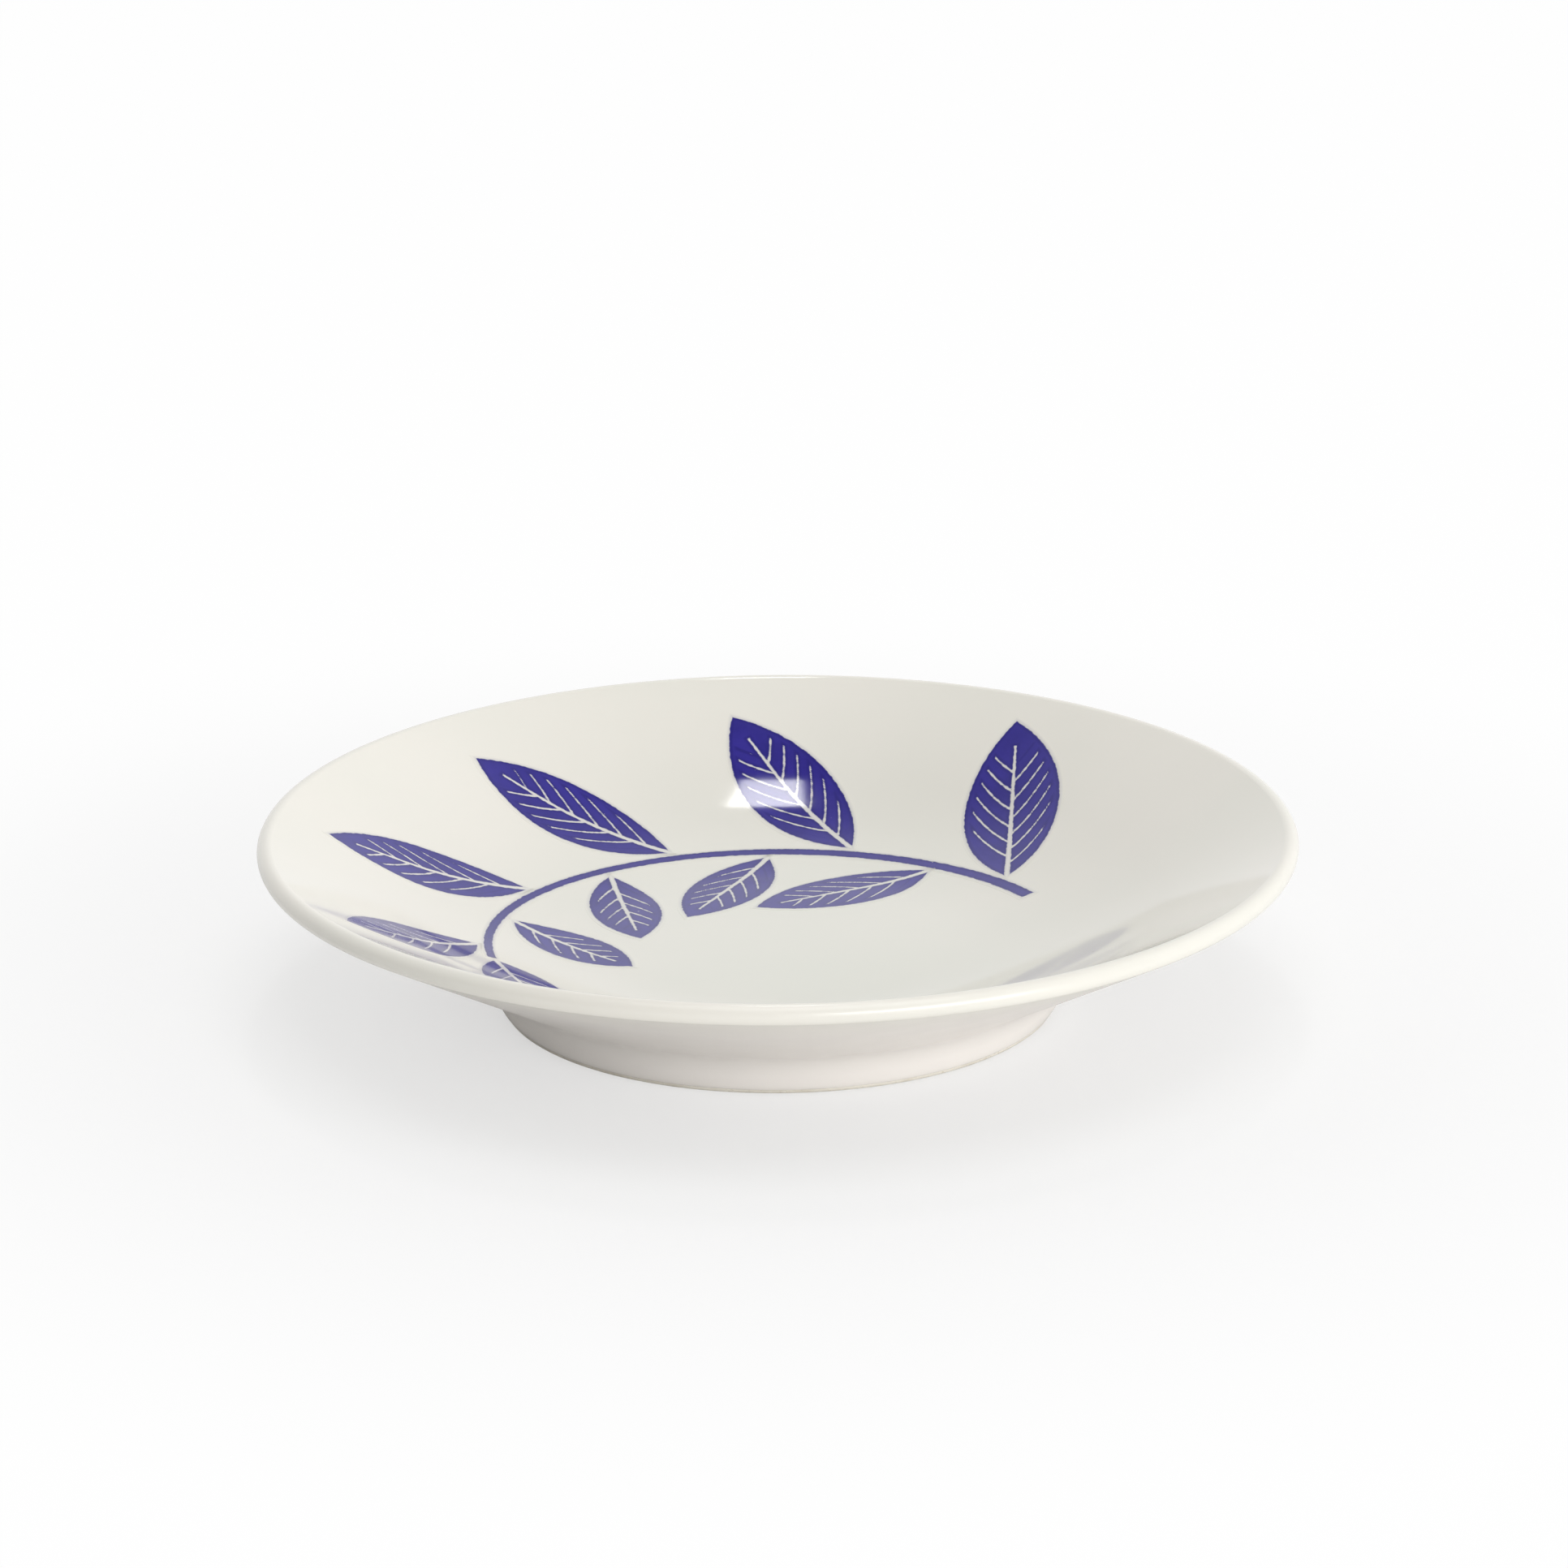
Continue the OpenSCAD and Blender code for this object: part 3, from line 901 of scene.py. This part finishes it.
def floor_material(stage, colours):
    """Pale floor. Camera and mirror rays see it mixed with plain white, less and less towards the dish, where
    it keeps the dish's shadow. It is clear from below, and where the foot hides it."""
    material, tree, shader = new_material("pale_floor")
    shader.inputs["Base Color"].default_value = rgba(colours.floor_white)
    shader.inputs["Roughness"].default_value = FLOOR_ROUGHNESS
    shader.inputs["Specular IOR Level"].default_value = FLOOR_SPECULAR
    path = add(tree, "ShaderNodeLightPath")
    glow = add(tree, "ShaderNodeEmission", {"Color": WHITE, "Strength": 1.0})
    place = add(tree, "ShaderNodeTexCoord").outputs["Object"]
    reach = vector_node(tree, "LENGTH", place)
    plain = ramp(tree, reach, SHADOW_FROM, SHADOW_TO, stage.shadow_lift, stage.floor_glow)
    plain = math_node(tree, "MULTIPLY", plain, path.outputs["Is Camera Ray"])
    mirror = ramp(tree, reach, MIRROR_FROM, MIRROR_TO, 0.0, stage.mirror_glow)
    share = math_node(tree, "ADD", plain, math_node(tree, "MULTIPLY", mirror, path.outputs["Is Glossy Ray"]))
    lit = add(tree, "ShaderNodeMixShader", {0: share, 1: shader.outputs[0], 2: glow.outputs[0]})
    clear = add(tree, "ShaderNodeBsdfTransparent")
    back = add(tree, "ShaderNodeNewGeometry").outputs["Backfacing"]
    unseen = math_node(tree, "MAXIMUM", back, math_node(tree, "LESS_THAN", reach, OPEN_TO))
    both = add(tree, "ShaderNodeMixShader", {0: unseen, 1: lit.outputs[0], 2: clear.outputs[0]})
    output = next(node for node in tree.nodes if node.type == "OUTPUT_MATERIAL")
    tree.links.new(both.outputs[0], output.inputs["Surface"])
    return material


def lay_floor(stage, colours):
    """A square of floor under the dish."""
    corner = FLOOR_HALF * np.array(((-1, -1, 0), (1, -1, 0), (1, 1, 0), (-1, 1, 0)), dtype=float)
    mesh = bpy.data.meshes.new("floor")
    mesh.from_pydata(corner.tolist(), [], [(0, 1, 2, 3)])
    mesh.materials.append(floor_material(stage, colours))
    floor = bpy.data.objects.new("floor", mesh)
    bpy.context.collection.objects.link(floor)


# Lamps: angle round the dish from the camera to the right, angle over the table, width and height
LAMP_DISTANCE = 1.1
KEY_LAMP = (math.radians(32.0), math.radians(12.0), 0.9, 0.4)
OVER_LAMP = (math.radians(20.0), math.radians(78.0), 0.8, 0.8)
SPOT_LAMP = (math.radians(178.5), math.radians(64.2), 0.1, 0.2)


def hang_lamp(name, place, radiance):
    """A soft lamp that faces the dish. Its power is its radiance times pi times its area."""
    azimuth, elevation, width, height = place
    light = bpy.data.lights.new(name, "AREA")
    light.shape = "RECTANGLE"
    light.size = width
    light.size_y = height
    light.energy = radiance * math.pi * width * height
    lamp = bpy.data.objects.new(name, light)
    level = math.cos(elevation)
    away = Vector((level * math.sin(azimuth), -level * math.cos(azimuth), math.sin(elevation)))
    lamp.location = away * LAMP_DISTANCE
    lamp.rotation_euler = away.to_track_quat("Z", "Y").to_euler()
    lamp.visible_camera = False
    bpy.context.collection.objects.link(lamp)


# The sides of the studio fade into its ceiling between these heights of a direction's unit vector
CEILING_FROM = 0.64
CEILING_TO = 0.95


def light_world(stage):
    """Sky of the studio: four sides that blend into each other under a dim ceiling.

    A side's share of a direction is the square of the cosine between the side and the direction's level
    part, so the shares of the four sides add up to one.
    """
    world = bpy.data.worlds.new("studio")
    world.use_nodes = True
    bpy.context.scene.world = world
    tree = world.node_tree
    tree.nodes.clear()
    way = add(tree, "ShaderNodeTexCoord").outputs["Generated"]
    heading = vector_node(tree, "NORMALIZE", vector_node(tree, "MULTIPLY", way, FLAT))
    sides = 0.0
    for corner, level in zip(((1, -1), (1, 1), (-1, 1), (-1, -1)), stage.side_levels):
        side = Vector((*corner, 0)).normalized()
        cosine = vector_node(tree, "DOT_PRODUCT", heading, side)
        share = math_node(tree, "POWER", math_node(tree, "MAXIMUM", cosine, 0.0), 2.0)
        sides = math_node(tree, "ADD", math_node(tree, "MULTIPLY", share, level), sides)
    rise = add(tree, "ShaderNodeSeparateXYZ", {0: way}).outputs["Z"]
    low_down = ramp(tree, rise, CEILING_FROM, CEILING_TO, 1.0, 0.0)
    ceiling = ramp(tree, rise, CEILING_FROM, CEILING_TO, 0.0, stage.ceiling_level)
    level = math_node(tree, "ADD", math_node(tree, "MULTIPLY", sides, low_down), ceiling)
    path = add(tree, "ShaderNodeLightPath")
    strength = math_node(tree, "MAXIMUM", level, path.outputs["Is Camera Ray"])
    glow = add(tree, "ShaderNodeBackground", {"Color": WHITE, "Strength": strength})
    output = add(tree, "ShaderNodeOutputWorld")
    tree.links.new(glow.outputs[0], output.inputs["Surface"])


SENSOR_WIDTH = 36.0
NEAREST = 0.01


def turn_pair(first, second, angle):
    """Two directions at right angles, both turned by an angle, the first towards the second."""
    cos = math.cos(angle)
    sin = math.sin(angle)
    return first * cos + second * sin, second * cos - first * sin


def place_camera(stage):
    """Sets the camera off the axis and turns it until the aim point falls on its pixel.

    It first looks straight at the aim point, rolled about that line. It is then tilted and turned by the
    angles whose tangents are the pixel's way from the picture's middle over the focal length.
    """
    aim = Vector((0.0, 0.0, stage.aim_height))
    rise = stage.camera_elevation
    away = Vector((0.0, -math.cos(rise), math.sin(rise)))
    forward = -away
    right = Vector((1.0, 0.0, 0.0))
    up = right.cross(forward)
    right, up = turn_pair(right, up, -stage.camera_roll)
    middle = 0.5 * stage.picture_side
    tilt = math.atan((stage.aim_row - middle) / stage.focal_pixels)
    forward, up = turn_pair(forward, up, tilt)
    turn = math.atan((middle - stage.aim_column) / stage.focal_pixels)
    forward, right = turn_pair(forward, right, turn)
    lens = bpy.data.cameras.new("camera")
    lens.sensor_width = SENSOR_WIDTH
    lens.lens = SENSOR_WIDTH * stage.focal_pixels / stage.picture_side
    lens.clip_start = NEAREST
    camera = bpy.data.objects.new("camera", lens)
    turned_to = Matrix((right, up, -forward)).transposed().to_4x4()
    camera.matrix_world = Matrix.Translation(aim + away * stage.camera_distance) @ turned_to
    bpy.context.collection.objects.link(camera)
    bpy.context.scene.camera = camera


class DISH_OT_set_stage(bpy.types.Operator):
    """Sets the floor, the lamps, the light of the studio and the camera"""

    bl_idname = "dish.set_stage"
    bl_label = "Set the Stage"

    def execute(self, context):
        stage = context.scene.dish_stage
        lay_floor(stage, context.scene.dish_colours)
        light_world(stage)
        hang_lamp("key_lamp", KEY_LAMP, stage.key_radiance)
        hang_lamp("over_lamp", OVER_LAMP, stage.over_radiance)
        hang_lamp("spot_lamp", SPOT_LAMP, stage.spot_radiance)
        place_camera(stage)
        context.scene.view_settings.view_transform = "Standard"
        return {"FINISHED"}


class DISH_PT_maker(bpy.types.Panel):
    """The dish's sizes, colours and steps"""

    bl_idname = "DISH_PT_maker"
    bl_label = "Soy Sauce Dish"
    bl_space_type = "VIEW_3D"
    bl_region_type = "UI"
    bl_category = "Dish"

    def draw(self, context):
        for label, group in (("Sizes", "dish_sizes"), ("Sprig", "dish_sprig"),
                             ("Colours", "dish_colours"), ("Stage", "dish_stage")):
            box = self.layout.box()
            box.label(text=label)
            settings = getattr(context.scene, group)
            for name in settings.bl_rna.properties.keys():
                if name not in {"rna_type", "name"}:
                    box.prop(settings, name)
        for operator in OPERATORS:
            self.layout.operator(operator.bl_idname)


GROUPS = {"dish_sizes": DishSizes, "dish_sprig": SprigSizes, "dish_colours": DishColours,
          "dish_stage": StageSettings}
OPERATORS = (DISH_OT_turn_clay, DISH_OT_pour_glaze, DISH_OT_print_sprig, DISH_OT_set_stage)


def register():
    for kind in (*GROUPS.values(), *OPERATORS, DISH_PT_maker):
        bpy.utils.register_class(kind)
    for name, kind in GROUPS.items():
        setattr(bpy.types.Scene, name, PointerProperty(type=kind))


def unregister():
    for name in GROUPS:
        delattr(bpy.types.Scene, name)
    for kind in (DISH_PT_maker, *reversed(OPERATORS), *reversed(GROUPS.values())):
        bpy.utils.unregister_class(kind)


def main():
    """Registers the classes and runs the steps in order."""
    register()
    bpy.ops.dish.turn_clay()
    bpy.ops.dish.pour_glaze()
    bpy.ops.dish.print_sprig()
    bpy.ops.dish.set_stage()


if __name__ == "__main__":
    main()
